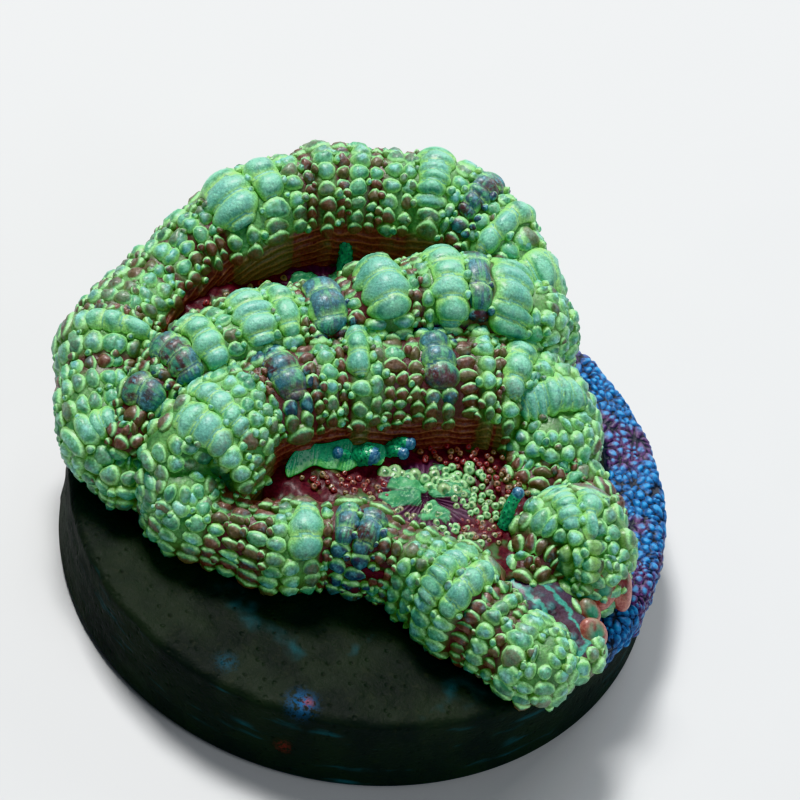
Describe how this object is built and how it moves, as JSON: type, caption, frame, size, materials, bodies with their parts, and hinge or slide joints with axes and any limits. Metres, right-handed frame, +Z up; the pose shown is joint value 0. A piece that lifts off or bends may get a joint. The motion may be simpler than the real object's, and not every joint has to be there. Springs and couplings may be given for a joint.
{
  "type": "acan coral on a frag plug",
  "caption": "Fleshy stony coral colony with folded polyp rims covered in rows of blisters, grown on a round ceramic frag plug.",
  "frame": {"origin": "centre of the plug's flat underside", "axes": "+Z up, away from the plug's flat underside; looking along +Y shows the front polyp's open mouth"},
  "size_m": [0.0339, 0.0326, 0.0163],
  "materials": {
    "coral_flesh": "Wet living coral flesh over a limestone skeleton: lime green and mint blisters with maroon, brown and violet rows.",
    "plug_ceramic": "Unglazed ceramic, darkened to near-black olive by films of algae, with faint blue-green streaks.",
    "coralline": "Thin lumpy coralline algae, cobalt blue with mauve patches and pale growing edges."
  },
  "bodies": {
    "root": {"coral_colony": "coral_flesh", "frag_plug": "plug_ceramic", "coralline_crust": "coralline"}
  },
  "joints": []
}
